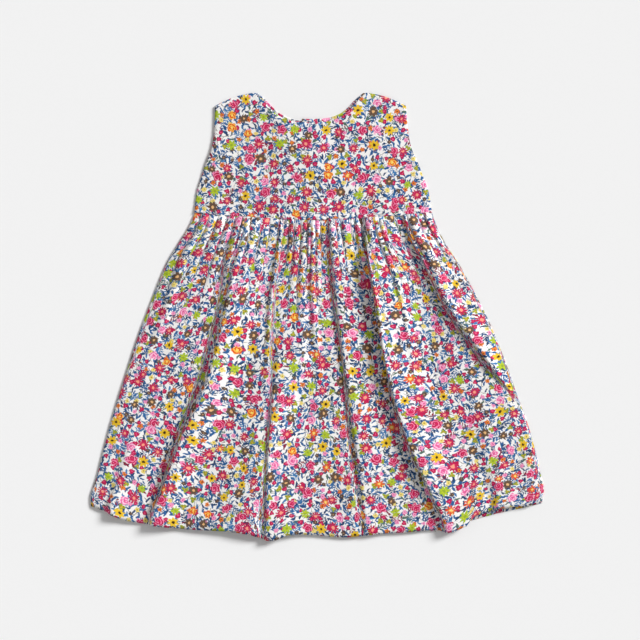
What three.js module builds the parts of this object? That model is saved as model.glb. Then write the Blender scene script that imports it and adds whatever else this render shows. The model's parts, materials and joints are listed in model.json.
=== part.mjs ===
// A toddler's sleeveless summer dress laid flat, face up: a plain bodice sewn to a gathered skirt.
// Millimetres, +Z up. The neck points along +Y, and the dress rests on the plane z = 0.
import * as THREE from "three";

// Cloth and seams
const cloth = 1.2; // wall of a panel
const backCloth = 1.1; // wall of a back bodice half
const gap = 0.3; // air between pieces that meet at a seam or lie on each other

// Bodice, front. Heights along the dress are measured from the middle of its length.
const bodice = {
  waist: 106, // waist seam at the middle
  waistRise: 8, // the seam curves up this much at the sides
  underarm: 139, // where the side seam meets the armhole
  shoulderOuter: 231.5,
  shoulderInner: 246,
  neckHalf: 59, // half the neck's width at the shoulder seams
  neckDepth: 33,
  crown: 3.9, // how much the front stands off the back in the middle
};
// Half the bodice's width, from the waist seam up the side seam and round the armhole
const bodiceSide = [
  { up: 98, half: 131 },
  { up: 114, half: 130.5 },
  { up: 139, half: 127 },
  { up: 152, half: 122.5 },
  { up: 168, half: 117 },
  { up: 182, half: 111 },
  { up: 197, half: 107.5 },
  { up: 214, half: 106 },
  { up: 231.5, half: 105 },
  { up: 250, half: 105 },
];
// The neckline from the shoulder seam (across 1, drop 0) to the middle (across 0, drop 1)
const neckline = [
  { across: 0, drop: 1 },
  { across: 0.3, drop: 0.96 },
  { across: 0.56, drop: 0.78 },
  { across: 0.71, drop: 0.54 },
  { across: 0.84, drop: 0.27 },
  { across: 1, drop: 0 },
];

// Back bodice: two halves that lap at the middle and close with three buttons
const back = {
  neckDepth: 29,
  neckInset: 3.2, // the back's neck edge stands this far inside the front's
  lap: 10, // each half passes the middle by this much
  leftDrop: 2.5, // the over half sits a little lower at the neck than the under half
  climbFrom: 2.5, // the under half lies level this far past the lap, then comes down
  climbOver: 8,
};
const button = { radius: 5.5, thick: 1.9, holeRadius: 0.8, holeOut: 1.5, seatFlat: 9, seatEnd: 23 };
const buttonHeights = [203, 169, 135];

// Skirt: a straight piece gathered into the waist seam, fanning out to the hem
const skirt = {
  length: 347,
  gathers: 34,
  gatherHeight: 3.3,
  loft: 1.6, // general stand of the front over the back
  hemRise: 34, // the hem curves up this much at the side seams
};
// Half the skirt's width down the side seam, v being the share of the length below the waist
const skirtSide = [
  { v: 0, half: 131 },
  { v: 0.05, half: 138 },
  { v: 0.1, half: 148 },
  { v: 0.15, half: 158.5 },
  { v: 0.2, half: 167 },
  { v: 0.3, half: 181 },
  { v: 0.4, half: 194.5 },
  { v: 0.5, half: 206.5 },
  { v: 0.6, half: 217.5 },
  { v: 0.7, half: 227.5 },
  { v: 0.8, half: 236 },
  { v: 0.9, half: 243.5 },
  { v: 0.96, half: 249 },
  { v: 1, half: 248.5 },
];
// The main folds. u runs from -1 to 1 across; a fold starts at v from and ends at v to. Its steep face
// looks left and is steep wide, its far face falls over far, and a groove runs along its foot.
const folds = [
  { name: "left", u: [-0.7, -0.61, -0.61, -0.68, -0.75], from: 0.04, to: 1.3, high: 7, steep: 17, far: 26, groove: 1.6 },
  { name: "left_low", u: [-0.25, -0.25, -0.246, -0.246, -0.24], from: 0.42, to: 1.4, high: 6, steep: 13, far: 34, groove: 0.7 },
  { name: "middle", u: [0.1, 0.118, 0.14, 0.172, 0.2], from: 0.02, to: 0.95, high: 4, steep: 11, far: 26, groove: 1.1 },
  { name: "right", u: [0.4, 0.365, 0.38, 0.445, 0.56], from: 0.02, to: 1.5, high: 8.5, steep: 13, far: 36, groove: 1.8 },
  { name: "far_right", u: [0.74, 0.775, 0.9, 1.05, 1.2], from: -0.03, to: 0.62, high: 6, steep: 12, far: 26, groove: 1.6 },
  { name: "hem_left", u: [-0.8, -0.86, -0.9, -0.92, -0.94], from: 0.78, to: 1.6, high: 4.5, steep: 12, far: 14, groove: 0.4 },
  { name: "hem_right", u: [0.7, 0.71, 0.73, 0.74, 0.76], from: 0.7, to: 1.6, high: 4, steep: 14, far: 30, groove: 0.4 },
];
const grooveWidth = 6;
// Where the hem hangs below its smooth curve: left and right are the half widths of the dip, in u
const frontDips = [
  { at: -0.215, left: 0.07, right: 0.06, drop: 8 },
  { at: 0.6, left: 0.1, right: 0.075, drop: 9 },
];
const backDips = [
  { at: 0.53, left: 0.09, right: 0.1, drop: 8 },
  { at: -0.93, left: 0.1, right: 0.07, drop: 5 },
];
const dipStart = 0.8; // share of the length where the dips begin

// The line of the middle of the dress, which leans a little to the left at the neck
const middleLine = [
  { up: -60, x: 0 },
  { up: 106, x: -4 },
  { up: 246, x: -7.5 },
];

const clamp01 = (t) => Math.min(1, Math.max(0, t));
const ease = (t) => clamp01(t) ** 2 * (3 - 2 * clamp01(t));
const mix = (a, b, t) => a + (b - a) * t;

// Reads a table along one column: straight between rows, and held past its ends
function readTable(rows, key, value, at) {
  if (at <= rows[0][key]) return rows[0][value];
  for (let i = 1; i < rows.length; i++) {
    const [low, high] = [rows[i - 1], rows[i]];
    if (at <= high[key]) return mix(low[value], high[value], (at - low[key]) / (high[key] - low[key]));
  }
  return rows[rows.length - 1][value];
}

// Reads a table on a smooth curve through its rows
function readSmooth(rows, key, value, at) {
  const last = rows.length - 1;
  const t = clamp01((at - rows[0][key]) / (rows[last][key] - rows[0][key]));
  const x = mix(rows[0][key], rows[last][key], t);
  const i = Math.min(last - 1, Math.max(0, rows.findIndex((row) => row[key] > x) - 1 + (t >= 1 ? last : 0)));
  const [a, b] = [rows[i], rows[i + 1]];
  const slope = (j) => {
    const [low, high] = [rows[Math.max(0, j - 1)], rows[Math.min(last, j + 1)]];
    return (high[value] - low[value]) / (high[key] - low[key]);
  };
  const step = b[key] - a[key];
  const s = (x - a[key]) / step;
  return (
    (2 * s ** 3 - 3 * s ** 2 + 1) * a[value] +
    (s ** 3 - 2 * s ** 2 + s) * step * slope(i) +
    (3 * s ** 2 - 2 * s ** 3) * b[value] +
    (s ** 3 - s ** 2) * step * slope(i + 1)
  );
}

const middleAt = (y) => readTable(middleLine, "up", "x", y);
const bodiceHalf = (y) => readSmooth(bodiceSide, "up", "half", y);
const waistAt = (u) => bodice.waist + bodice.waistRise * u * u;

// A closed wall from a patch of triangles with a point above and a point below at each corner
function wall(above, below, triangles) {
  const count = above.length;
  const faces = [...triangles];
  for (const [a, b, c] of triangles) faces.push([a + count, c + count, b + count]);
  const edges = new Map();
  for (const [a, b, c] of triangles)
    for (const [from, to] of [[a, b], [b, c], [c, a]]) {
      const twin = `${to},${from}`;
      if (edges.has(twin)) edges.delete(twin);
      else edges.set(`${from},${to}`, [from, to]);
    }
  for (const [from, to] of edges.values()) {
    faces.push([from, from + count, to]);
    faces.push([to, from + count, to + count]);
  }
  const geometry = new THREE.BufferGeometry().setFromPoints([...above, ...below]);
  geometry.setIndex(faces.flat());
  geometry.computeVertexNormals();
  return geometry;
}

// Triangles between rows of points. A row holds all the columns, or every second one where coarse.
function patch(columns, rows, pointAt) {
  const points = [];
  const lines = rows.map((row) => {
    const stride = row.coarse ? 2 : 1;
    const line = [];
    for (let i = 0; i < columns.length; i += stride) {
      line.push(points.length);
      points.push(pointAt(columns[i], row.v));
    }
    return line;
  });
  const triangles = [];
  for (let r = 1; r < lines.length; r++) {
    const [low, high] = [lines[r - 1], lines[r]];
    if (low.length === high.length)
      for (let i = 1; i < low.length; i++) {
        triangles.push([low[i - 1], low[i], high[i]]);
        triangles.push([low[i - 1], high[i], high[i - 1]]);
      }
    else
      for (let i = 1; i < low.length; i++) {
        const j = 2 * i;
        triangles.push([low[i - 1], high[j - 1], high[j - 2]]);
        triangles.push([low[i - 1], low[i], high[j - 1]]);
        triangles.push([low[i], high[j], high[j - 1]]);
      }
  }
  return { points, triangles };
}

function panel(columns, rows, upper, lower) {
  const top = patch(columns, rows, upper);
  const bottom = patch(columns, rows, lower);
  return wall(top.points, bottom.points, top.triangles);
}

const spread = (from, to, count) => Array.from({ length: count + 1 }, (_, i) => mix(from, to, i / count));
const rowsOf = (count, coarse = false) => spread(0, 1, count).map((v) => ({ v, coarse }));

// The top edge of a bodice panel at u: shoulder seam outside the neck, neckline inside it
function topEdge(u, neckHalf, neckDepth) {
  const across = Math.abs(u) * readTable(bodiceSide, "up", "half", bodice.shoulderOuter);
  if (across >= neckHalf) {
    const share = (across - neckHalf) / (bodiceSide.at(-1).half - neckHalf);
    return mix(bodice.shoulderInner, bodice.shoulderOuter, clamp01(share));
  }
  return bodice.shoulderInner - neckDepth * readSmooth(neckline, "across", "drop", across / neckHalf);
}

// A bodice point: u from armhole to armhole, v from the waist seam to the top edge
function bodicePoint(u, v, neckHalf, neckDepth, seam) {
  const y = mix(waistAt(u) + seam, topEdge(u, neckHalf, neckDepth), v);
  return new THREE.Vector3(middleAt(y) + u * bodiceHalf(y), y, 0);
}

// How far the buttons under the back lift the cloth at a point
function overButtons(x, y) {
  return buttonHeights.reduce((most, height) => {
    const away = Math.hypot(x - middleAt(height), y - height);
    return Math.max(most, 1 - ease((away - button.seatFlat) / (button.seatEnd - button.seatFlat)));
  }, 0) * (button.thick + gap);
}

// The under half climbs onto the over half near the middle
function overLap(x, y) {
  const past = x - middleAt(y) - back.lap;
  return (1 - clamp01((past - back.climbFrom) / back.climbOver)) * (backCloth + gap);
}

// Stand of the front over the back's flat level, shared by the bodice and the top of the skirt
function crownAt(u) {
  return bodice.crown * (1 - ease(Math.abs(u) * 0.97));
}

const frontSeat = backCloth + gap; // underside of the front where it lies on a single back layer

function frontBodice() {
  const neck = bodice.neckHalf / bodiceSide.at(-1).half;
  const columns = [...spread(-1, -neck, 7), ...spread(-neck, neck, 22).slice(1), ...spread(neck, 1, 7).slice(1)];
  const at = (u, v, lift) => {
    const point = bodicePoint(u, v, bodice.neckHalf, bodice.neckDepth, gap / 2);
    const shoulders = 1 - 0.55 * ease((point.y - 190) / 60) * ease((Math.abs(u) - 0.3) / 0.4);
    point.z = frontSeat + crownAt(u) * shoulders + lift;
    return point;
  };
  return panel(columns, rowsOf(13), (u, v) => at(u, v, cloth), (u, v) => at(u, v, 0));
}

// side is -1 for the half with the buttonholes, which lies outermost, and 1 for the under half
function backBodice(side) {
  const half = bodiceSide.at(-1).half;
  const neckHalf = bodice.neckHalf - back.neckInset;
  const neck = neckHalf / half;
  const lap = back.lap / half;
  const level = (back.lap + back.climbFrom) / half;
  const down = (back.lap + back.climbFrom + back.climbOver) / half;
  const shoulder = spread(1, neck, 6);
  const columns =
    side < 0
      ? [...shoulder, ...spread(neck, lap, 7).slice(1), 0, -lap].map((u) => -u)
      : [-lap, 0, lap, level, ...spread(down, neck, 5), ...shoulder.reverse().slice(1)];
  const at = (u, v, lift) => {
    const point = bodicePoint(u, v, neckHalf, back.neckDepth, gap / 2);
    const inward = 1 - ease(Math.abs(u) / 0.5);
    if (side < 0) point.y -= back.leftDrop * inward * ease((v - 0.88) / 0.12);
    // The lap's edge runs straight down the middle, while the armhole side follows the outline
    point.x = mix(point.x, middleAt(point.y) + u * half, inward);
    point.z = overButtons(point.x, point.y) + (side > 0 ? overLap(point.x, point.y) : 0) + lift;
    return point;
  };
  return panel(columns, rowsOf(14), (u, v) => at(u, v, backCloth), (u, v) => at(u, v, 0));
}

// Gathers: uneven widths, heights and lengths from a fixed formula, the same each time
const uneven = (i, seed) => {
  const t = Math.sin(i * 12.9898 + seed * 78.233) * 43758.5453;
  return t - Math.floor(t);
};
const gathers = (() => {
  const widths = Array.from({ length: skirt.gathers }, (_, i) => 0.7 + 0.75 * uneven(i, 1));
  const total = widths.reduce((sum, width) => sum + width, 0);
  let edge = -1;
  return widths.map((width, i) => {
    const wide = (2 * width) / total;
    edge += wide;
    return {
      at: edge - wide / 2,
      half: wide / 2,
      high: skirt.gatherHeight * (0.65 + 0.5 * uneven(i, 2)),
      reach: 0.16 + 0.34 * uneven(i, 3) ** 2,
    };
  });
})();

// Height of the gathers: strongest just below the seam, each fading at its own length
function gatherHeight(u, v) {
  const ridge = gathers.find((g) => Math.abs(u - g.at) <= g.half * 1.0001) ?? gathers[gathers.length - 1];
  const across = Math.cos((Math.PI * (u - ridge.at)) / (2 * ridge.half));
  const along = (0.45 + 0.55 * ease(v / 0.035)) * (1 - ease(v / ridge.reach));
  return ridge.high * along * Math.max(0, across) ** 1.2;
}

function foldCentre(fold, v) {
  const rows = fold.u.map((u, i) => ({ v: i / (fold.u.length - 1), u }));
  return readSmooth(rows, "v", "u", clamp01(v));
}

// Height of one main fold at a point of the skirt
function foldHeight(fold, u, v, half) {
  const away = (u - foldCentre(fold, v)) * half;
  const along = ease((v - fold.from) / 0.16) * (1 - ease((v - fold.to + 0.3) / 0.3));
  const ridge = away <= 0 ? 0 : ease(away / fold.steep) * (1 - ease((away - fold.steep) / fold.far));
  const groove = Math.exp(-((away / grooveWidth) ** 2)) * fold.groove;
  return along * (fold.high * ridge - groove);
}

function dipAt(dips, u, v) {
  return dips.reduce((sum, dip) => {
    const away = (u - dip.at) / (u < dip.at ? dip.left : dip.right);
    return sum + dip.drop * (1 - ease(Math.abs(away)));
  }, 0) * ease((v - dipStart) / (1 - dipStart));
}

// A skirt point: u from side seam to side seam, v from the waist seam to the hem
function skirtPoint(u, v, dips) {
  const half = readSmooth(skirtSide, "v", "half", v);
  const rise = mix(bodice.waistRise, skirt.hemRise, v) * u * u;
  const y = bodice.waist - gap / 2 - skirt.length * v + rise - dipAt(dips, u, v);
  return new THREE.Vector3(middleAt(y) + u * half, y, 0);
}

// Height of the front skirt's underside above the back
function skirtStand(u, v) {
  const half = readSmooth(skirtSide, "v", "half", v);
  const edge = 1 - ease((Math.abs(u) * half - half + 14) / 14); // nearly flat at the side seams
  const seam = crownAt(u) * (1 - ease(v / 0.35));
  const loft = skirt.loft * ease(v / 0.12);
  const ridges = folds.reduce((sum, fold) => sum + foldHeight(fold, u, v, half), 0);
  return Math.max(0, seam + (loft + gatherHeight(u, v) + ridges) * (0.12 + 0.88 * edge));
}

function frontSkirt() {
  const columns = [-1];
  for (const g of gathers) columns.push(g.at - g.half / 2, g.at, g.at + g.half / 2, g.at + g.half);
  const fine = [0, 0.012, 0.035, 0.07, 0.11, 0.16].map((v) => ({ v, coarse: false }));
  const wide = [0.22, 0.29, 0.37, 0.45, 0.53, 0.61, 0.69, 0.77, 0.85, 0.93, 1].map((v) => ({ v, coarse: true }));
  const rows = [...fine, ...wide].reverse(); // from the hem up, so that the faces look up
  const seat = cloth + gap;
  const at = (u, v, lift) => {
    const point = skirtPoint(u, v, frontDips);
    point.z = seat + skirtStand(u, v) + lift;
    return point;
  };
  return panel(columns, rows, (u, v) => at(u, v, cloth), (u, v) => at(u, v, 0));
}

function backSkirt() {
  const rows = rowsOf(18).reverse();
  const at = (u, v, lift) => {
    const point = skirtPoint(u, v, backDips);
    point.z = lift;
    return point;
  };
  return panel(spread(-1, 1, 34), rows, (u, v) => at(u, v, cloth), (u, v) => at(u, v, 0));
}

// A four-hole button lying face down under the back
function buttonDisc() {
  const bevel = 0.35;
  const disc = new THREE.Shape().absarc(0, 0, button.radius - bevel, 0, 2 * Math.PI);
  for (let i = 0; i < 4; i++) {
    const turn = (Math.PI / 2) * (i + 0.5);
    const hole = new THREE.Path();
    hole.absarc(Math.cos(turn) * button.holeOut, Math.sin(turn) * button.holeOut, button.holeRadius, 0, 2 * Math.PI, true);
    disc.holes.push(hole);
  }
  const geometry = new THREE.ExtrudeGeometry(disc, {
    depth: button.thick - 2 * bevel,
    bevelThickness: bevel,
    bevelSize: bevel,
    bevelSegments: 1,
    curveSegments: 10,
  });
  return geometry.translate(0, 0, bevel);
}

const print = new THREE.MeshStandardMaterial({ color: 0xe9dcdc, roughness: 0.9, metalness: 0 });
const printBack = new THREE.MeshStandardMaterial({ color: 0xe2d6d8, roughness: 0.9, metalness: 0 });
const pearl = new THREE.MeshStandardMaterial({ color: 0xf3efe6, roughness: 0.3, metalness: 0 });

const dress = new THREE.Group();
function add(name, geometry, material) {
  const mesh = new THREE.Mesh(geometry, material);
  mesh.name = name;
  dress.add(mesh);
  return mesh;
}

add("front_bodice", frontBodice(), print);
add("front_skirt", frontSkirt(), print);
add("back_bodice_left", backBodice(-1), printBack);
add("back_bodice_right", backBodice(1), printBack);
add("back_skirt", backSkirt(), printBack);
buttonHeights.forEach((height, i) => {
  add(`button_${i + 1}`, buttonDisc(), pearl).position.set(middleAt(height), height, 0);
});

// The origin is the middle of the footprint, on the surface that the dress lies on
const box = new THREE.Box3().setFromObject(dress);
const centre = box.getCenter(new THREE.Vector3());
for (const piece of dress.children) {
  piece.position.x -= centre.x;
  piece.position.y -= centre.y;
}

export default dress;
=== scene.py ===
import bpy
import json
import math
import random
import numpy as np
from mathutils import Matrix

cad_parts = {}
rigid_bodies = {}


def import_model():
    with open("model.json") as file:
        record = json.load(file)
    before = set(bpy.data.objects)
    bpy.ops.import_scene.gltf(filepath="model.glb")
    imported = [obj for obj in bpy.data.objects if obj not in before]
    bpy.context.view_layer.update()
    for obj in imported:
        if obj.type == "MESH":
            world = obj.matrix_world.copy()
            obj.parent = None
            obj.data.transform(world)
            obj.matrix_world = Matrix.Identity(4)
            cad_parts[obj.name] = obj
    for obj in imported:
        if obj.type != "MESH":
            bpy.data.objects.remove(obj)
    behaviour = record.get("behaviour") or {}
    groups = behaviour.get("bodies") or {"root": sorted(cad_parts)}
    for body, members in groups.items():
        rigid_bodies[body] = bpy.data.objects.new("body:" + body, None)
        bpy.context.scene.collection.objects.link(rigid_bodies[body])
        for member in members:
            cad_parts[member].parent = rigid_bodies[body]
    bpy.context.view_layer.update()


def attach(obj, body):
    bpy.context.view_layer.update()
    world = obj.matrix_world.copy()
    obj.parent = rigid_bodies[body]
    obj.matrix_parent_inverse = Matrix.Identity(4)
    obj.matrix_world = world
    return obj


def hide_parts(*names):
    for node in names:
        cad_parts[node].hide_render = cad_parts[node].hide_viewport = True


# A toddler's sleeveless sundress of printed cotton, spread flat and face up, seen from straight above.
# Sizes are in millimetres until a mesh is made, with the neck towards +Y.

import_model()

# Camera
view = {"wide": 704.0, "middle": (3.3, -3.1), "away": 3000.0}

lens = bpy.data.cameras.new("camera")
lens.sensor_width = 36.0
lens.lens = lens.sensor_width * view["away"] / view["wide"]
lens.clip_end = 20.0
camera = bpy.data.objects.new("camera", lens)
camera.location = (view["middle"][0] / 1000, view["middle"][1] / 1000, view["away"] / 1000)
bpy.context.collection.objects.link(camera)
bpy.context.scene.camera = camera
print("camera set")

# Shared shape helpers


def ease(t):
    t = np.clip(t, 0.0, 1.0)
    return t * t * (3 - 2 * t)


def straight(rows, at):
    return np.interp(at, [row[0] for row in rows], [row[1] for row in rows])


def smooth(rows, at):
    # a smooth curve through the rows, held past its ends
    key = np.array([row[0] for row in rows], dtype=float)
    value = np.array([row[1] for row in rows], dtype=float)
    slope = np.empty_like(value)
    slope[1:-1] = (value[2:] - value[:-2]) / (key[2:] - key[:-2])
    slope[0] = (value[1] - value[0]) / (key[1] - key[0])
    slope[-1] = (value[-1] - value[-2]) / (key[-1] - key[-2])
    at = np.clip(at, key[0], key[-1])
    i = np.clip(np.searchsorted(key, at, side="right") - 1, 0, len(key) - 2)
    step = key[i + 1] - key[i]
    s = (at - key[i]) / step
    return ((2 * s**3 - 3 * s**2 + 1) * value[i] + (s**3 - 2 * s**2 + s) * step * slope[i]
            + (3 * s**2 - 2 * s**3) * value[i + 1] + (s**3 - s**2) * step * slope[i + 1])


def ripple(across, along, waves, seed):
    # uneven swells: a few waves of the given lengths in mm, with a fixed seed
    chance = random.Random(seed)
    total = np.zeros_like(across)
    for long, high, lean in waves:
        turn = lean + chance.uniform(-0.25, 0.25)
        phase = chance.uniform(0, 2 * math.pi)
        total += high * np.sin(2 * math.pi * (across * math.cos(turn) + along * math.sin(turn)) / long + phase)
    return total


def spaced(stops):
    # from each (start, count) to the next start, evenly
    parts = [np.linspace(a[0], b[0], a[1], endpoint=False) for a, b in zip(stops, stops[1:])]
    return np.concatenate(parts + [np.array([stops[-1][0]])])


def clothShell(name, points, cut, material, thick, flip=False):
    # points is rows x columns x 3 in mm, cut is rows x columns x 2 in mm on the flat cloth
    rows, columns = points.shape[:2]
    grid = np.arange(rows * columns).reshape(rows, columns)
    corners = [grid[:-1, :-1], grid[:-1, 1:], grid[1:, 1:], grid[1:, :-1]]
    faces = np.stack([c.ravel() for c in corners], axis=1)
    if flip:
        faces = faces[:, ::-1]
    mesh = bpy.data.meshes.new(name)
    mesh.vertices.add(rows * columns)
    mesh.vertices.foreach_set("co", (points / 1000).reshape(-1))
    mesh.loops.add(faces.size)
    mesh.loops.foreach_set("vertex_index", faces.reshape(-1).astype(np.int32))
    mesh.polygons.add(len(faces))
    mesh.polygons.foreach_set("loop_start", np.arange(0, faces.size, 4, dtype=np.int32))
    mesh.polygons.foreach_set("use_smooth", np.ones(len(faces), dtype=bool))
    mesh.update(calc_edges=True)
    layer = mesh.uv_layers.new(name="cut")
    layer.data.foreach_set("uv", (cut.reshape(-1, 2)[faces.reshape(-1)] / 100).reshape(-1).astype(np.float32))
    mesh.materials.append(material)
    piece = bpy.data.objects.new(name, mesh)
    bpy.context.collection.objects.link(piece)
    wall = piece.modifiers.new("cloth thickness", "SOLIDIFY")
    wall.thickness = thick / 1000
    wall.offset = -1.0
    wall.use_even_offset = False
    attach(piece, "root")
    return piece


# Materials


def linear(code):
    parts = [int(code[i : i + 2], 16) / 255 for i in (1, 3, 5)]
    return tuple([c / 12.92 if c <= 0.04045 else ((c + 0.055) / 1.055) ** 2.4 for c in parts] + [1.0])


def add(tree, kind, inputs=None, **settings):
    made = tree.nodes.new(kind)
    for name, value in settings.items():
        setattr(made, name, value)
    for name, value in (inputs or {}).items():
        if isinstance(value, bpy.types.NodeSocket):
            tree.links.new(value, made.inputs[name])
        else:
            made.inputs[name].default_value = value
    return made


def sums(tree, known, rows):
    # each row: the result's name, what is done, and its one to three numbers or names
    for name, operation, *terms in rows:
        values = {i: known[term] if isinstance(term, str) else term for i, term in enumerate(terms)}
        known[name] = add(tree, "ShaderNodeMath", values, operation=operation).outputs[0]
    return known


def steps(tree, pick, kinds, key):
    # a ramp with one flat step for each kind, as wide as its share
    ramp = add(tree, "ShaderNodeValToRGB", {"Fac": pick})
    ramp.color_ramp.interpolation = "CONSTANT"
    whole = sum(kind["share"] for kind in kinds)
    at = 0.0
    for i, kind in enumerate(kinds):
        stops = ramp.color_ramp.elements
        stop = stops[i] if i < 2 else stops.new(at)
        stop.position = at
        value = kind[key]
        stop.color = linear(value) if isinstance(value, str) else (*value, 1.0)
        at += kind["share"] / whole
    return ramp.outputs["Color"]


def scattered(tree, place, spacing, loose, shift):
    # one motif a cell: its own axes x and y in mm, turned at random, and three random numbers
    moved = add(tree, "ShaderNodeVectorMath", {0: place, 1: (*shift, 0)}, operation="ADD")
    cells = add(tree, "ShaderNodeTexVoronoi", {"Vector": moved.outputs[0], "Scale": 1 / spacing,
                "Randomness": loose}, voronoi_dimensions="2D")
    local = add(tree, "ShaderNodeVectorMath", {0: moved.outputs[0], 1: cells.outputs["Position"]},
                operation="SUBTRACT")
    chance = add(tree, "ShaderNodeSeparateColor", {"Color": cells.outputs["Color"]})
    known = {"pick": chance.outputs[0], "size": chance.outputs[1], "turn": chance.outputs[2]}
    sums(tree, known, [("angle", "MULTIPLY", "turn", 2 * math.pi)])
    turned = add(tree, "ShaderNodeVectorRotate", {"Vector": local.outputs[0], "Angle": known["angle"]},
                 rotation_type="Z_AXIS")
    axes = add(tree, "ShaderNodeSeparateXYZ", {"Vector": turned.outputs[0]})
    known.update(x=axes.outputs[0], y=axes.outputs[1])
    return known


def laidOver(tree, under, over, mask):
    held = add(tree, "ShaderNodeClamp", {"Value": mask})
    mixed = add(tree, "ShaderNodeMix", {"Factor": held.outputs[0], 6: under, 7: over}, data_type="RGBA")
    return mixed.outputs[2]


# A small all-over flower print of the general kind, in a layout of its own. Each kind of flower has its
# share of the cells; shape is petals / 16, depth of the notches between them and radius in mm / 8;
# swirl is 1 for a rose.
flowerKinds = [
    {"share": 28, "shape": (11 / 16, 0.55, 6.2 / 8), "swirl": (0, 0, 0), "petal": "#b81148",
     "inner": "#dd3f66", "heart": "#f3a287"},
    {"share": 14, "shape": (7 / 16, 0.34, 5.4 / 8), "swirl": (0, 0, 0), "petal": "#67503f",
     "inner": "#54403a", "heart": "#e8b67b"},
    {"share": 10, "shape": (7 / 16, 0.42, 5.6 / 8), "swirl": (0, 0, 0), "petal": "#e6bf2b",
     "inner": "#dda824", "heart": "#35250f"},
    {"share": 12, "shape": (7 / 16, 0.52, 5.4 / 8), "swirl": (0, 0, 0), "petal": "#a2bd28",
     "inner": "#d4cf3a", "heart": "#8fa82c"},
    {"share": 5, "shape": (5 / 16, 0.24, 5.2 / 8), "swirl": (1, 0, 0), "petal": "#dc4b24",
     "inner": "#f7bd48", "heart": "#f6d86c"},
    {"share": 9, "shape": (5 / 16, 0.3, 5.4 / 8), "swirl": (1, 0, 0), "petal": "#e56ba2",
     "inner": "#fac6dc", "heart": "#dd5a94"},
    {"share": 18, "shape": (5 / 16, 0.34, 5.8 / 8), "swirl": (1, 0, 0), "petal": "#b50f43",
     "inner": "#ee82a8", "heart": "#cc1f55"},
    {"share": 4, "shape": (8 / 16, 0.6, 5.8 / 8), "swirl": (0, 0, 0), "petal": "#d84b29",
     "inner": "#f09343", "heart": "#f7d573"},
]
budKinds = [
    {"share": 42, "shape": (3 / 16, 0.3, 2.8 / 8), "swirl": (0, 0, 0), "petal": "#b5124b",
     "inner": "#d02c60", "heart": "#e0557e"},
    {"share": 13, "shape": (5 / 16, 0.34, 2.9 / 8), "swirl": (0, 0, 0), "petal": "#e8d274",
     "inner": "#f2e29a", "heart": "#b8952f"},
    {"share": 9, "shape": (5 / 16, 0.45, 3.1 / 8), "swirl": (0, 0, 0), "petal": "#d9662a",
     "inner": "#f0b542", "heart": "#9c2a1d"},
    {"share": 12, "shape": (5 / 16, 0.3, 2.7 / 8), "swirl": (0, 0, 0), "petal": "#ec8cb8",
     "inner": "#f5bdd6", "heart": "#cf3f7c"},
    {"share": 10, "shape": (6 / 16, 0.34, 2.7 / 8), "swirl": (0, 0, 0), "petal": "#54413b",
     "inner": "#64504a", "heart": "#a3805b"},
    {"share": 14, "shape": (3 / 16, 0.55, 3.3 / 8), "swirl": (0, 0, 0), "petal": "#96ab30",
     "inner": "#98202f", "heart": "#c9b23c"},
]
leafKinds = [
    {"share": 44, "leaf": "#275a90"},
    {"share": 20, "leaf": "#3f77ac"},
    {"share": 26, "leaf": "#1e3d66"},
    {"share": 6, "leaf": "#4f6b5f"},
    {"share": 4, "leaf": "#84223e"},
]


def flowers(tree, place, kinds, spacing, loose, shift, under):
    k = scattered(tree, place, spacing, loose, shift)
    shape = add(tree, "ShaderNodeSeparateColor", {"Color": steps(tree, k["pick"], kinds, "shape")})
    swirl = add(tree, "ShaderNodeSeparateColor", {"Color": steps(tree, k["pick"], kinds, "swirl")})
    k.update(petals=shape.outputs[0], notch=shape.outputs[1], wide=shape.outputs[2], swirl=swirl.outputs[0])
    sums(tree, k, [
        ("across", "MULTIPLY", "x", "x"),
        ("away", "MULTIPLY_ADD", "y", "y", "across"),
        ("away", "SQRT", "away"),
        ("round", "ARCTAN2", "y", "x"),
        ("petals", "MULTIPLY", "petals", 8.0),
        ("wave", "MULTIPLY", "round", "petals"),
        ("wave", "COSINE", "wave"),
        ("wave", "ABSOLUTE", "wave"),
        ("dent", "SUBTRACT", 1.0, "wave"),
        ("dent", "MULTIPLY", "dent", "notch"),
        ("rim", "SUBTRACT", 1.0, "dent"),
        ("wide", "MULTIPLY", "wide", 8.0),
        ("vary", "MULTIPLY_ADD", "size", 0.26, 0.82),
        ("wide", "MULTIPLY", "wide", "vary"),
        ("rim", "MULTIPLY", "rim", "wide"),
        ("mask", "SUBTRACT", "rim", "away"),
        ("mask", "MULTIPLY_ADD", "mask", 2.2, 0.5),
        ("share", "DIVIDE", "away", "wide"),
        # petals darken in the folds between them, and pale towards the heart
        ("glow", "MULTIPLY_ADD", "share", -2.4, 1.55),
        ("vein", "MULTIPLY_ADD", "wave", 1.5, -0.45),
        ("glow", "MULTIPLY", "glow", "vein"),
        # a rose's petals wind round its heart
        ("above", "SUBTRACT", "y", 1.5),
        ("near", "MULTIPLY_ADD", "above", "above", "across"),
        ("near", "SQRT", "near"),
        ("wind", "ARCTAN2", "above", "x"),
        ("wind", "MULTIPLY_ADD", "near", 2.7, "wind"),
        ("wind", "SINE", "wind"),
        ("wind", "MULTIPLY_ADD", "wind", 1.7, 0.2),
        ("change", "SUBTRACT", "wind", "glow"),
        ("glow", "MULTIPLY_ADD", "change", "swirl", "glow"),
        ("heart", "MULTIPLY_ADD", "share", -9.0, 2.9),
    ])
    colour = laidOver(tree, steps(tree, k["pick"], kinds, "petal"),
        steps(tree, k["pick"], kinds, "inner"), k["glow"])
    colour = laidOver(tree, colour, steps(tree, k["pick"], kinds, "heart"), k["heart"])
    return laidOver(tree, under, colour, k["mask"])


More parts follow.
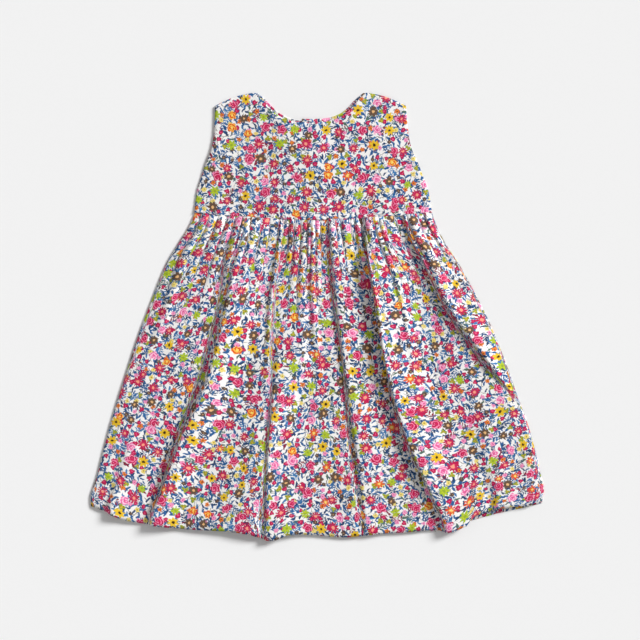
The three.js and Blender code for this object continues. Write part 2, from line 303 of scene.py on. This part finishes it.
def looseLeaves(tree, place, spacing, loose, shift, long, wide, under):
    k = scattered(tree, place, spacing, loose, shift)
    sums(tree, k, [
        ("along", "DIVIDE", "x", long),
        ("along", "MULTIPLY", "along", "along"),
        ("bend", "MULTIPLY_ADD", "along", 0.7, "y"),
        ("half", "MULTIPLY_ADD", "along", -wide, wide),
        ("off", "ABSOLUTE", "bend"),
        ("mask", "SUBTRACT", "half", "off"),
        ("mask", "MULTIPLY_ADD", "mask", 3.4, 0.5),
    ])
    return laidOver(tree, under, steps(tree, k["pick"], leafKinds, "leaf"), k["mask"])


def sprays(tree, place, spacing, loose, shift, under):
    # leaves in slanting pairs on a short stem
    k = scattered(tree, place, spacing, loose, shift)
    sums(tree, k, [
        ("side", "ABSOLUTE", "y"),
        ("slant", "MULTIPLY_ADD", "side", -0.8, "x"),
        ("turnOf", "WRAP", "slant", 1.5, -1.5),
        ("off", "ABSOLUTE", "turnOf"),
        ("out", "DIVIDE", "side", 3.9),
        ("rest", "SUBTRACT", 1.0, "out"),
        ("half", "MULTIPLY", "out", "rest"),
        ("half", "MULTIPLY", "half", 3.6),
        ("leaf", "SUBTRACT", "half", "off"),
        ("stem", "SUBTRACT", 0.22, "side"),
        ("mask", "MAXIMUM", "leaf", "stem"),
        ("reach", "ABSOLUTE", "x"),
        ("reach", "SUBTRACT", 5.2, "reach"),
        ("mask", "MINIMUM", "mask", "reach"),
        ("mask", "MULTIPLY_ADD", "mask", 3.4, 0.5),
    ])
    return laidOver(tree, under, steps(tree, k["pick"], leafKinds, "leaf"), k["mask"])


def stalks(tree, place, spacing, shift, under):
    # thin curved stalks, arcs of a ring
    k = scattered(tree, place, spacing, 0.9, shift)
    sums(tree, k, [
        ("across", "MULTIPLY", "x", "x"),
        ("away", "MULTIPLY_ADD", "y", "y", "across"),
        ("away", "SQRT", "away"),
        ("off", "SUBTRACT", "away", 5.4),
        ("off", "ABSOLUTE", "off"),
        ("line", "SUBTRACT", 0.26, "off"),
        ("part", "MULTIPLY_ADD", "x", 0.4, -0.5),
        ("mask", "MINIMUM", "line", "part"),
        ("mask", "MULTIPLY_ADD", "mask", 3.4, 0.5),
    ])
    return laidOver(tree, under, linear("#67645c"), k["mask"])


def printedCotton():
    # Cotton poplin, plain weave, roller printed on one side: matt, with a soft fuzz that lights up at
    # grazing angles. The threads are 0.25 mm apart, drawn at 0.7 mm so that they show at all.
    material = bpy.data.materials.new("printed_cotton_poplin")
    material.use_nodes = True
    tree = material.node_tree
    tree.nodes.clear()
    where = add(tree, "ShaderNodeUVMap", uv_map="cut")
    flat = add(tree, "ShaderNodeVectorMath", {0: where.outputs[0], "Scale": 100.0},
        operation="SCALE").outputs[0]
    wobble = add(tree, "ShaderNodeTexNoise", {"Vector": flat, "Scale": 0.36, "Detail": 2.0})
    drift = add(tree, "ShaderNodeVectorMath", {0: wobble.outputs["Color"], 1: (0.5, 0.5, 0.5)},
        operation="SUBTRACT")
    place = add(tree, "ShaderNodeVectorMath", {0: drift.outputs[0], 1: (3.4, 3.4, 0), 2: flat},
                operation="MULTIPLY_ADD").outputs[0]
    colour = linear("#f1efed")
    colour = stalks(tree, place, 9, (3, 61), colour)
    colour = stalks(tree, place, 11, (53, 11), colour)
    colour = looseLeaves(tree, place, 6.2, 0.7, (17, 29), 3.2, 0.98, colour)
    colour = looseLeaves(tree, place, 8.2, 0.85, (71, 43), 4.1, 1.15, colour)
    colour = sprays(tree, place, 14, 0.9, (37, 5), colour)
    colour = flowers(tree, place, budKinds, 9.6, 0.75, (23, 83), colour)
    colour = flowers(tree, place, flowerKinds, 17.6, 0.7, (0, 0), colour)
    warp = add(tree, "ShaderNodeTexWave", {"Vector": flat, "Scale": 0.224, "Distortion": 0.6, "Detail": 1.0},
               wave_type="BANDS", bands_direction="X")
    weft = add(tree, "ShaderNodeTexWave", {"Vector": flat, "Scale": 0.224, "Distortion": 0.6, "Detail": 1.0},
               wave_type="BANDS", bands_direction="Y")
    weave = add(tree, "ShaderNodeMath", {0: warp.outputs["Fac"], 1: weft.outputs["Fac"]},
        operation="MULTIPLY")
    crumple = add(tree, "ShaderNodeTexNoise", {"Vector": flat, "Scale": 0.11, "Detail": 3.0,
        "Roughness": 0.5})
    relief = add(tree, "ShaderNodeMath", {0: crumple.outputs["Fac"], 1: 5.0, 2: weave.outputs[0]},
                 operation="MULTIPLY_ADD")
    bump = add(tree, "ShaderNodeBump", {"Strength": 0.35, "Distance": 0.00012, "Height": relief.outputs[0]})
    shader = add(tree, "ShaderNodeBsdfPrincipled", {"Base Color": colour, "Roughness": 0.88, "IOR": 1.53,
                 "Specular IOR Level": 0.25, "Sheen Weight": 0.12, "Sheen Roughness": 0.4,
                 "Normal": bump.outputs[0]})
    add(tree, "ShaderNodeOutputMaterial", {"Surface": shader.outputs[0]})
    return material


def cottonThread():
    # Spun cotton sewing thread: matt, with its ply showing as fine slanting ridges 0.4 mm apart. The ridges also
    # carry painted light and shade: lighter on their crests, darker in the grooves between them.
    material = bpy.data.materials.new("cotton_thread")
    material.use_nodes = True
    tree = material.node_tree
    tree.nodes.clear()
    where = add(tree, "ShaderNodeTexCoord")
    ply = add(tree, "ShaderNodeTexWave", {"Vector": where.outputs["Object"], "Scale": 800.0},
              wave_type="BANDS", bands_direction="DIAGONAL")
    # painted shade in the ply's grooves and painted light on its crests, from the same bands as the bump
    tone = laidOver(tree, linear("#e4e3e0"), linear("#f7f6f3"), ply.outputs["Fac"])
    bump = add(tree, "ShaderNodeBump", {"Strength": 0.4, "Distance": 0.00005, "Height": ply.outputs["Fac"]})
    shader = add(tree, "ShaderNodeBsdfPrincipled", {"Base Color": tone, "Roughness": 0.8, "IOR": 1.53,
                 "Sheen Weight": 0.2, "Normal": bump.outputs[0]})
    add(tree, "ShaderNodeOutputMaterial", {"Surface": shader.outputs[0]})
    return material


def pearlButton():
    # Moulded polyester with pearl powder: satin, with slow cloudy bands across the face.
    material = bpy.data.materials.new("pearl_polyester")
    material.use_nodes = True
    tree = material.node_tree
    tree.nodes.clear()
    where = add(tree, "ShaderNodeTexCoord")
    cloud = add(tree, "ShaderNodeTexNoise", {"Vector": where.outputs["Object"], "Scale": 170.0, "Detail": 3.0,
                "Distortion": 1.2})
    tone = laidOver(tree, linear("#ece6da"), linear("#fbfaf6"), cloud.outputs["Fac"])
    rough = add(tree, "ShaderNodeMapRange", {"Value": cloud.outputs["Fac"], "To Min": 0.22, "To Max": 0.36})
    bump = add(tree, "ShaderNodeBump", {"Strength": 0.15, "Distance": 0.00005,
        "Height": cloud.outputs["Fac"]})
    shader = add(tree, "ShaderNodeBsdfPrincipled",
        {"Base Color": tone, "Roughness": rough.outputs[0], "IOR": 1.56,
                 "Coat Weight": 0.3, "Coat Roughness": 0.15, "Normal": bump.outputs[0]})
    add(tree, "ShaderNodeOutputMaterial", {"Surface": shader.outputs[0]})
    return material


def pressedPaper():
    # The pale ground: matt paper with a hardly visible tooth of about 1 mm.
    material = bpy.data.materials.new("pale_ground")
    material.use_nodes = True
    tree = material.node_tree
    tree.nodes.clear()
    where = add(tree, "ShaderNodeTexCoord")
    tooth = add(tree, "ShaderNodeTexNoise", {"Vector": where.outputs["Object"], "Scale": 900.0})
    tone = laidOver(tree, linear("#f2f2f2"), linear("#f6f6f6"), tooth.outputs["Fac"])
    shader = add(tree, "ShaderNodeBsdfPrincipled", {"Base Color": tone, "Roughness": 0.95})
    add(tree, "ShaderNodeOutputMaterial", {"Surface": shader.outputs[0]})
    return material


cotton = printedCotton()
thread = cottonThread()
pearl = pearlButton()
print("materials made")


def runOfStitches(name, paths, pitch, long, thick):
    # stitches laid end to end along each path: paths are lists of points in mm
    line = bpy.data.meshes.new(name)
    corners = [tuple(c / 1000 for c in point) for path in paths for point in path]
    edges, first = [], 0
    for path in paths:
        edges += [(first + i, first + i + 1) for i in range(len(path) - 1)]
        first += len(path)
    line.from_pydata(corners, edges, [])
    run = bpy.data.objects.new(name, line)
    bpy.context.collection.objects.link(run)
    group = bpy.data.node_groups.new(name, "GeometryNodeTree")
    group.interface.new_socket("Path", in_out="INPUT", socket_type="NodeSocketGeometry")
    sizes = {"Pitch": pitch, "Stitch length": long, "Thread thickness": thick}
    for size in sizes:
        group.interface.new_socket(size, in_out="INPUT", socket_type="NodeSocketFloat")
    group.interface.new_socket("Stitches", in_out="OUTPUT", socket_type="NodeSocketGeometry")
    given = add(group, "NodeGroupInput").outputs
    curve = add(group, "GeometryNodeMeshToCurve", {"Mesh": given["Path"]})
    spots = add(group, "GeometryNodeCurveToPoints",
        {"Curve": curve.outputs[0], "Length": given["Pitch"]}, mode="LENGTH")
    stitch = add(group, "GeometryNodeMeshUVSphere", {"Segments": 6, "Rings": 4, "Radius": 0.5})
    uneven = add(group, "FunctionNodeRandomValue", {2: 0.85, 3: 1.1, "Seed": 4})
    length = add(group, "ShaderNodeMath", {0: given["Stitch length"], 1: uneven.outputs[1]},
        operation="MULTIPLY")
    size = add(group, "ShaderNodeCombineXYZ", {0: given["Thread thickness"], 1: given["Thread thickness"],
               2: length.outputs[0]})
    laid = add(group, "GeometryNodeInstanceOnPoints",
        {"Points": spots.outputs["Points"], "Instance": stitch.outputs[0],
               "Rotation": spots.outputs["Rotation"], "Scale": size.outputs[0]})
    solid = add(group, "GeometryNodeRealizeInstances", {0: laid.outputs[0]})
    spun = add(group, "GeometryNodeSetMaterial", {0: solid.outputs[0], "Material": thread})
    add(group, "NodeGroupOutput", {"Stitches": spun.outputs[0]})
    layer = run.modifiers.new("stitches", "NODES")
    layer.node_group = group
    for item in group.interface.items_tree:
        if item.in_out == "INPUT" and item.name in sizes:
            layer[item.identifier] = sizes[item.name] / 1000
    made = bpy.data.meshes.new_from_object(run.evaluated_get(bpy.context.evaluated_depsgraph_get()))
    run.modifiers.clear()
    run.data = made
    made.name = name
    made.shade_smooth()
    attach(run, "root")
    return run


# Dress outline, as the solids have it
dress = {
    "shift": 0.76,  # the solids' middle stands this far up from the pattern's zero
    "middle": [(-60, 0), (106, -4), (246, -7.5)],
    "waist": 106,
    "waistRise": 8,
    "thick": 0.45,
}


def middleAt(y):
    return straight(dress["middle"], y)


def placed(x, y, z):
    return np.stack([x, y + dress["shift"], z], axis=-1)


# Skirts
skirt = {
    "length": 347,
    "cutHalf": 275,  # half the width of one panel before it was gathered
    "hemRise": 34,
    "hemDeep": 24,
    "side": [(0, 131), (0.05, 138), (0.1, 148), (0.15, 158.5), (0.2, 167), (0.3, 181), (0.4, 194.5),
        (0.5, 206.5),
             (0.6, 217.5), (0.7, 227.5), (0.8, 236), (0.9, 243.5), (0.96, 249), (1, 248.5)],
    # what each side seam lies outside that
    "left": [(0, -1), (0.1, 0), (0.4, -1.5), (0.7, -2.5), (0.9, -1.5), (1, 0)],
    "right": [(0, 0), (0.05, -2), (0.12, -4.5), (0.2, -3.5), (0.35, -0.5), (0.6, 0), (0.75, 2.5),
        (0.9, 2.5), (1, -1)],
    # how far the front hem hangs below its smooth curve, from side seam to side seam
    "frontHem": [(-1, 3.4), (-0.93, 5), (-0.88, 8), (-0.84, 9.7), (-0.75, 8.2), (-0.66, 7.3),
        (-0.57, 5.8), (-0.48, 3.7),
                 (-0.39, 2.2), (-0.3, 3.4), (-0.25, 6.5), (-0.21, 8.6), (-0.17, 7.6), (-0.128,
                     1.9), (-0.08, 0.5),
                 (0, 1.3), (0.09, 3.8), (0.14, 4.2), (0.22, 3.1), (0.31, 2.5), (0.4, 3.5), (0.49,
                     4), (0.54, 5.6),
                 (0.58, 10.4), (0.62, 10.3), (0.67, 6.6), (0.705, -3.5), (0.76, -4.6), (0.82,
                     -5.3), (0.88, -4),
                 (0.94, -0.9), (1, -2)],
    "backHem": [(-1, 3), (-0.93, 5), (-0.6, 1), (-0.2, 0), (0.2, 0), (0.44, 1), (0.53, 7), (0.62, 2),
        (0.8, -1), (1, 0)],
    "gathers": 36,
    "gatherHigh": 5.2,
}
# The main folds: u and strength at v = 0, 1/4, 1/2, 3/4 and 1, and steep at v = 0 and 1. Each has a steep face
# on its left, which laps over its own foot by lap, and a slope far wide on its right.
folds = [
    {"u": (-0.7, -0.61, -0.61, -0.68, -0.75), "strength": (0.4, 0.75, 0.95, 1, 0.7), "high": 11.0,
     "steep": (22, 9), "far": 30, "groove": 2.2, "lap": 6},
    {"u": (-0.5, -0.52, -0.56, -0.6, -0.62), "strength": (0, 0, 0.45, 1, 0.8), "high": 6.0,
     "steep": (80, 80), "far": 26, "groove": 0, "lap": 0},
    {"u": (-0.25, -0.25, -0.246, -0.246, -0.24), "strength": (0, 0, 0.5, 1, 0.9), "high": 5.0,
     "steep": (9, 9), "far": 40, "groove": 0.8, "lap": 4},
    {"u": (0.1, 0.118, 0.14, 0.172, 0.2), "strength": (0.5, 0.9, 0.8, 0.6, 0.2), "high": 5.5,
     "steep": (7, 8), "far": 26, "groove": 1.8, "lap": 4},
    {"u": (0.4, 0.365, 0.38, 0.445, 0.56), "strength": (0.4, 0.85, 1, 0.9, 0.45), "high": 12.0,
     "steep": (9, 9), "far": 42, "groove": 2.8, "lap": 9},
    {"u": (0.74, 0.775, 0.9, 1.05, 1.2), "strength": (0.5, 0.9, 1, 0, 0), "high": 7.5, "steep": (6, 8),
     "far": 24, "groove": 2.4, "lap": 5},
    {"u": (-0.8, -0.86, -0.9, -0.92, -0.94), "strength": (0, 0, 0, 0.2, 1), "high": 4.5,
     "steep": (12, 10), "far": 14, "groove": 0.6, "lap": 2},
    {"u": (0.7, 0.71, 0.73, 0.74, 0.76), "strength": (0, 0, 0, 0.3, 1), "high": 4.0, "steep": (14, 14),
     "far": 30, "groove": 0.4, "lap": 2},
    {"u": (0.92, 1.0, 1.2, 1.3, 1.4), "strength": (1, 0.7, 0, 0, 0), "high": 3.5, "steep": (5, 6),
     "far": 10, "groove": 1.4, "lap": 2},
]


def gatherCells(count, seed):
    # uneven pinches along the waist seam
    chance = random.Random(seed)
    wide = [chance.uniform(0.5, 1.7) for _ in range(count)]
    edges = np.concatenate([[0], np.cumsum(wide)]) / sum(wide) * 2 - 1
    high = np.array([chance.uniform(0.4, 1.2) for _ in range(count)])
    reach = np.array([0.15 + 0.55 * chance.random() ** 2 for _ in range(count)])
    return edges, high, reach


def inCells(edges, u):
    i = np.clip(np.searchsorted(edges, u, side="right") - 1, 0, len(edges) - 2)
    middle = (edges[i] + edges[i + 1]) / 2
    half = (edges[i + 1] - edges[i]) / 2
    return i, middle, half


def skirtPlan(u, v, hem):
    half = smooth(skirt["side"], v)
    rise = dress["waistRise"] + (skirt["hemRise"] - dress["waistRise"]) * v
    y = dress["waist"] - 0.15 - skirt["length"] * v + rise * u * u
    y = y - (straight(hem, u) - 2.0) * ease((v - 0.8) / 0.2)
    extra = np.where(u < 0, smooth(skirt["left"], v), smooth(skirt["right"], v))
    return middleAt(y) + u * (half + extra * u * u), y, half


def foldFoot(fold, v):
    return smooth([(i / 4, u) for i, u in enumerate(fold["u"])], v)


def skirtCut(u, v, half, edges, feet):
    # where each point is on the flat panel: at full scale on each ridge, with the spare cloth tucked
    # into the pinches at the waist and under the main folds lower down
    i, middle, wide = inCells(edges, u)
    t = np.clip((u - middle) / wide, -1, 1)
    fine = wide * (t - np.sign(t) * np.maximum(0, np.abs(t) - 0.86) / 0.14)
    ends = np.sort(np.stack([np.full_like(v, -1.0), *feet, np.full_like(v, 1.0)]), axis=0)
    coarse = np.zeros_like(u)
    for low, high in zip(ends[:-1], ends[1:]):
        inside = (u >= low) & (u <= high)
        spread = np.maximum(high - low, 1e-6) / 2
        t = np.clip((u - (low + high) / 2) / spread, -1, 1)
        coarse = np.where(inside, spread * (t - np.sign(t) * np.maximum(0, np.abs(t) - 0.94) / 0.06), coarse)
    share = 1 - ease(v / 0.4)
    spare = half - skirt["cutHalf"]
    across = skirt["cutHalf"] * u + spare * (share * fine + (1 - share) * coarse)
    return np.stack([across, -skirt["length"] * v], axis=-1)


def makeFrontSkirt():
    u, v = np.meshgrid(np.linspace(-1, 1, 341), spaced([(0, 26), (0.12, 26), (0.4, 56), (1, 0)]))
    edges, high, reach = gatherCells(skirt["gathers"], 5)
    x, y, half = skirtPlan(u, v, skirt["frontHem"])
    drift = u + 0.012 * np.sin(9 * v + 5 * u) * ease(v / 0.2)
    i, middle, wide = inCells(edges, drift)
    arch = np.clip(np.cos(math.pi * (drift - middle) / (2 * wide)), 0, 1) ** 0.6
    fade = (0.3 + 0.7 * ease(v / 0.03)) * (1 - ease(v / reach[i]))
    z = skirt["gatherHigh"] * high[i] * arch * fade
    lean = np.zeros_like(u)
    feet = []
    for fold in folds:
        foot = foldFoot(fold, v)
        away = (u - foot) * half
        along = smooth([(i / 4, strength) for i, strength in enumerate(fold["strength"])], v)
        steep = fold["steep"][0] + (fold["steep"][1] - fold["steep"][0]) * v
        ridge = np.where(away > 0, ease(away / steep) * (1 - ease((away - steep) / fold["far"])), 0)
        z += along * (fold["high"] * ridge - fold["groove"] * np.exp(-((away / 4.5) ** 2)))
        lean -= along * fold["lap"] * ridge
        if fold["lap"] > 3:
            feet.append(np.clip(foot, -0.999, 0.999))
    z += ripple(x, y, [(95, 0.5, 0.1), (61, 0.35, -0.2), (41, 0.2, 0.3), (27, 0.12, 0.1)], 3) * ease(v / 0.2)
    fromSide = half * (1 - np.abs(u))
    edge = ease(fromSide / 14)
    loft = 1.6 * ease(v / 0.12)
    seam = 3.9 * (1 - ease(np.abs(u) * 0.97)) * (1 - ease(v / 0.35))
    z = np.maximum(0, seam + (loft + z) * (0.12 + 0.88 * edge))
    hem = ease((v - 1 + skirt["hemDeep"] / skirt["length"]) * skirt["length"] / 1.5)
    stitched = np.exp(-(((1 - v) * skirt["length"] - skirt["hemDeep"] + 1) / 1.1) ** 2)
    pucker = np.sin(x / 5.5 * 2 * math.pi + 2 * np.sin(x / 31)) * np.exp(-(((1 - v) * skirt["length"] - 20) / 9) ** 2)
    z += 0.3 * hem - 0.45 * stitched + 0.18 * pucker
    z += 2.35
    # the side seams and the hem turn down towards the back
    z -= 1.0 * (1 - ease(fromSide / 2.2)) + 0.5 * (1 - ease((1 - v) * skirt["length"] / 1.6))
    # the top edge dives under the bodice
    z -= 1.2 * (1 - ease(v * skirt["length"] / 3.5))
    cut = skirtCut(drift, v, half, edges, feet)
    return placed(x + lean, y + 1.2 * (1 - ease(v / 0.01)), z), cut + np.array([300, 400])


def makeBackSkirt():
    u, v = np.meshgrid(np.linspace(-1, 1, 241), spaced([(0, 20), (0.12, 20), (0.4, 40), (1, 0)]))
    edges, high, reach = gatherCells(skirt["gathers"], 11)
    x, y, half = skirtPlan(u, v, skirt["backHem"])
    i, middle, wide = inCells(edges, u)
    arch = np.clip(np.cos(math.pi * (u - middle) / (2 * wide)), 0, 1) ** 0.6
    fade = (0.3 + 0.7 * ease(v / 0.03)) * (1 - ease(v / reach[i]))
    # seen from below, the pinches are creases that run up into the dress
    z = 0.85 * high[i] * (1 - arch) * fade
    cut = skirtCut(u, v, half, edges, [np.full_like(v, t) for t in (-0.5, 0.0, 0.5)])
    return placed(x, y, z + 0.03), cut + np.array([1100, 900])


frontPoints, frontCut = makeFrontSkirt()
frontSkirt = clothShell("front_skirt_cloth", frontPoints, frontCut, cotton, dress["thick"], flip=True)
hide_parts("front_skirt")
hemStitch = {"pitch": 3.2, "long": 2.5, "thick": 0.36}


def hemLine(name, points, lift):
    rows = points[:, points.shape[1] // 2, 1]
    row = int(np.argmin(np.abs(rows - rows[-1] - skirt["hemDeep"] + 1)))
    path = [tuple(point + np.array([0, 0, lift])) for point in points[row, 3:-3]]
    return runOfStitches(name, [path], hemStitch["pitch"], hemStitch["long"], hemStitch["thick"])


frontHem = hemLine("front_hem_stitches", frontPoints, 0.05)

backPoints, backCut = makeBackSkirt()
backSkirt = clothShell("back_skirt_cloth", backPoints, backCut, cotton, dress["thick"])
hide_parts("back_skirt")
backHem = hemLine("back_hem_stitches", backPoints, -0.02)
print("skirts made")

# Bodice
bodice = {
    "side": [(98, 131), (114, 130.5), (139, 127), (152, 122.5), (168, 117), (182, 111), (197, 107.5),
        (214, 106),
             (231.5, 105), (250, 105)],
    "shoulderOuter": 231.5,
    "shoulderInner": 246,
    "topHalf": 105,
    "neckHalf": 61.5,
    "neckDepth": 33,
    "neckline": [(0, 1), (0.3, 0.96), (0.56, 0.78), (0.71, 0.54), (0.84, 0.27), (1, 0)],
    "backNeckHalf": 58.6,
    "backNeckDepth": 29,
    "backLeftDrop": 2.5,
    "lap": 10,
    "shoulderSwell": 2.6,
    "crown": 3.9,
}
buttons = {"heights": (203, 169, 135), "thick": 1.9, "seatFlat": 9, "seatEnd": 23, "holeOut": 1.5}


def topEdge(u, neckHalf, neckDepth):
    across = np.abs(u) * bodice["topHalf"]
    share = (across - neckHalf) / (bodice["topHalf"] - neckHalf)
    shoulder = bodice["shoulderInner"] + (bodice["shoulderOuter"] - bodice["shoulderInner"]) * np.clip(share, 0, 1)
    shoulder = shoulder + bodice["shoulderSwell"] * np.sin(math.pi * np.clip(share, 0, 1))
    neck = bodice["shoulderInner"] - neckDepth * smooth(bodice["neckline"], across / neckHalf)
    return np.where(across >= neckHalf, shoulder, neck)


def bodicePlan(u, v, neckHalf, neckDepth):
    low = dress["waist"] + dress["waistRise"] * u * u + 0.15
    y = low + (topEdge(u, neckHalf, neckDepth) - low) * v
    half = smooth(bodice["side"], y)
    return middleAt(y) + u * half, y, half


def rolledEdges(points, reach, drop):
    # every open edge turns down over its last few millimetres
    rows, columns = points.shape[:2]
    flat = points[..., :2]
    ring = np.concatenate([flat[0], flat[-1], flat[:, 0], flat[:, -1]])
    away = np.full((rows, columns), 1e9)
    for spot in ring[::2]:
        away = np.minimum(away, np.hypot(*(np.moveaxis(flat, -1, 0) - spot[:, None, None])))
    return drop * (1 - ease(away / reach)), away


def makeFrontBodice():
    neck = bodice["neckHalf"] / bodice["topHalf"]
    u, v = np.meshgrid(spaced([(-1, 36), (-neck, 100), (neck, 36), (1, 0)]), np.linspace(0, 1, 141))
    x, y, half = bodicePlan(u, v, bodice["neckHalf"], bodice["neckDepth"])
    shoulders = 1 - 0.55 * ease((y - 190) / 60) * ease((np.abs(u) - 0.3) / 0.4)
    z = bodice["crown"] * (1 - ease(np.abs(u) * 0.97)) * shoulders
    z += ripple(x, y, [(88, 0.35, 0.4), (57, 0.22, 1.2), (37, 0.14, 0.2)], 8)
    # short puckers where the skirt's gathers pull on the seam
    fromSeam = y - dress["waist"] - dress["waistRise"] * u * u
    z += 0.4 * np.sin(x / 6.3 * 2 * math.pi + 1.7 * np.sin(x / 17)) * (1 - ease(fromSeam / 9))
    points = placed(x, y, z + 2.35 + 0.7 * (1 - ease(fromSeam / 6)))
    roll, away = rolledEdges(points, 2.4, 0.9)
    points[..., 2] += 0.12 * np.sin((x + y) / 7.5 * 2 * math.pi) * (1 - ease(away / 9)) - roll
    return points, np.stack([x + 700, y + 120], axis=-1)


frontTop, frontTopCut = makeFrontBodice()
frontBodice = clothShell("front_bodice_cloth", frontTop, frontTopCut, cotton, dress["thick"])
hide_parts("front_bodice")


def makeBackHalf(side):
    neck = bodice["backNeckHalf"] / bodice["topHalf"]
    lap = bodice["lap"] / bodice["topHalf"]
    u, v = np.meshgrid(spaced([(-1, 30), (-neck, 60), (lap, 0)]), np.linspace(0, 1, 101))
    u = u * -side
    x, y, half = bodicePlan(u, v, bodice["backNeckHalf"], bodice["backNeckDepth"])
    inward = 1 - ease(np.abs(u) / 0.5)
    if side < 0:
        y = y - bodice["backLeftDrop"] * inward * ease((v - 0.88) / 0.12)
    x = x * (1 - inward) + (middleAt(y) + u * bodice["topHalf"]) * inward
    z = np.zeros_like(x)
    for height in buttons["heights"]:
        away = np.hypot(x - middleAt(height), y - height)
        lift = 1 - ease((away - buttons["seatFlat"]) / (buttons["seatEnd"] - buttons["seatFlat"]))
        z = np.maximum(z, lift * (buttons["thick"] + 0.3))
    if side > 0:
        z += (1 - np.clip((x - middleAt(y) - bodice["lap"] - 2.5) / 8, 0, 1)) * 1.4
    points = placed(x, y, z + 0.5)
    return points, np.stack([x * side + 1500 + 400 * side, y + 700], axis=-1)


for side, node in ((-1, "back_bodice_left"), (1, "back_bodice_right")):
    points, cut = makeBackHalf(side)
    half = clothShell(node + "_cloth", points, cut, cotton, dress["thick"], flip=side > 0)
    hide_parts(node)
print("bodice made")

# Buttons keep their solids
for i in range(3):
    node = bpy.data.objects[f"button_{i + 1}"]
    node.data.materials.clear()
    node.data.materials.append(pearl)

sewing = {"threadThick": 0.5, "slitHalf": 7.6, "slitWide": 1.1, "slitAt": 2.15}
holds, slits = [], []
for height in buttons["heights"]:
    out = buttons["holeOut"] / math.sqrt(2)
    x, y = float(middleAt(height)), height + dress["shift"]
    for side in (-1, 1):
        across = [(x - out, y + side * out, 0.05), (x + out, y + side * out, 0.05)]
        holds.append([(x - out, y + side * out, 2.3), *across, (x + out, y + side * out, 2.3)])
    turns = [math.radians(a) for a in range(0, 361, 15)]
    slits.append([(x + sewing["slitWide"] * math.cos(t), y + sewing["slitHalf"] * math.sin(t),
        sewing["slitAt"])
                  for t in turns])
runOfStitches("button_threads", holds, 0.45, 0.75, sewing["threadThick"])
runOfStitches("buttonhole_stitches", slits, 0.6, 0.9, 0.55)
print("buttons sewn on")

# Ground, lights
ground = bpy.data.meshes.new("ground")
ground.from_pydata([(-3, -3, -0.0004), (3, -3, -0.0004), (3, 3, -0.0004), (-3, 3, -0.0004)], [],
    [(0, 1, 2, 3)])
ground.materials.append(pressedPaper())
floor = bpy.data.objects.new("ground", ground)
bpy.context.collection.objects.link(floor)

lamps = [
    {"name": "window", "kind": "SUN", "at": (2.1, 1.35, 1.45), "soft": math.radians(20), "power": 3.75},
    {"name": "fill", "kind": "SUN", "at": (-1.0, -1.2, 2.4), "soft": math.radians(60), "power": 0.25},
]
for lamp in lamps:
    light = bpy.data.lights.new(lamp["name"], lamp["kind"])
    light.angle = lamp["soft"]
    light.energy = lamp["power"]
    bulb = bpy.data.objects.new(lamp["name"], light)
    bulb.location = lamp["at"]
    aim = -np.array(lamp["at"])
    bulb.rotation_euler = (math.acos(-aim[2] / np.linalg.norm(aim)), 0,
        math.atan2(aim[1], aim[0]) - math.pi / 2)
    bpy.context.collection.objects.link(bulb)
sky = bpy.data.worlds.new("studio")
sky.use_nodes = True
sky.node_tree.nodes["Background"].inputs["Color"].default_value = (1, 1, 1, 1)
sky.node_tree.nodes["Background"].inputs["Strength"].default_value = 0.31
bpy.context.scene.world = sky
bpy.context.scene.view_settings.view_transform = "Standard"
print("ground and lights set")
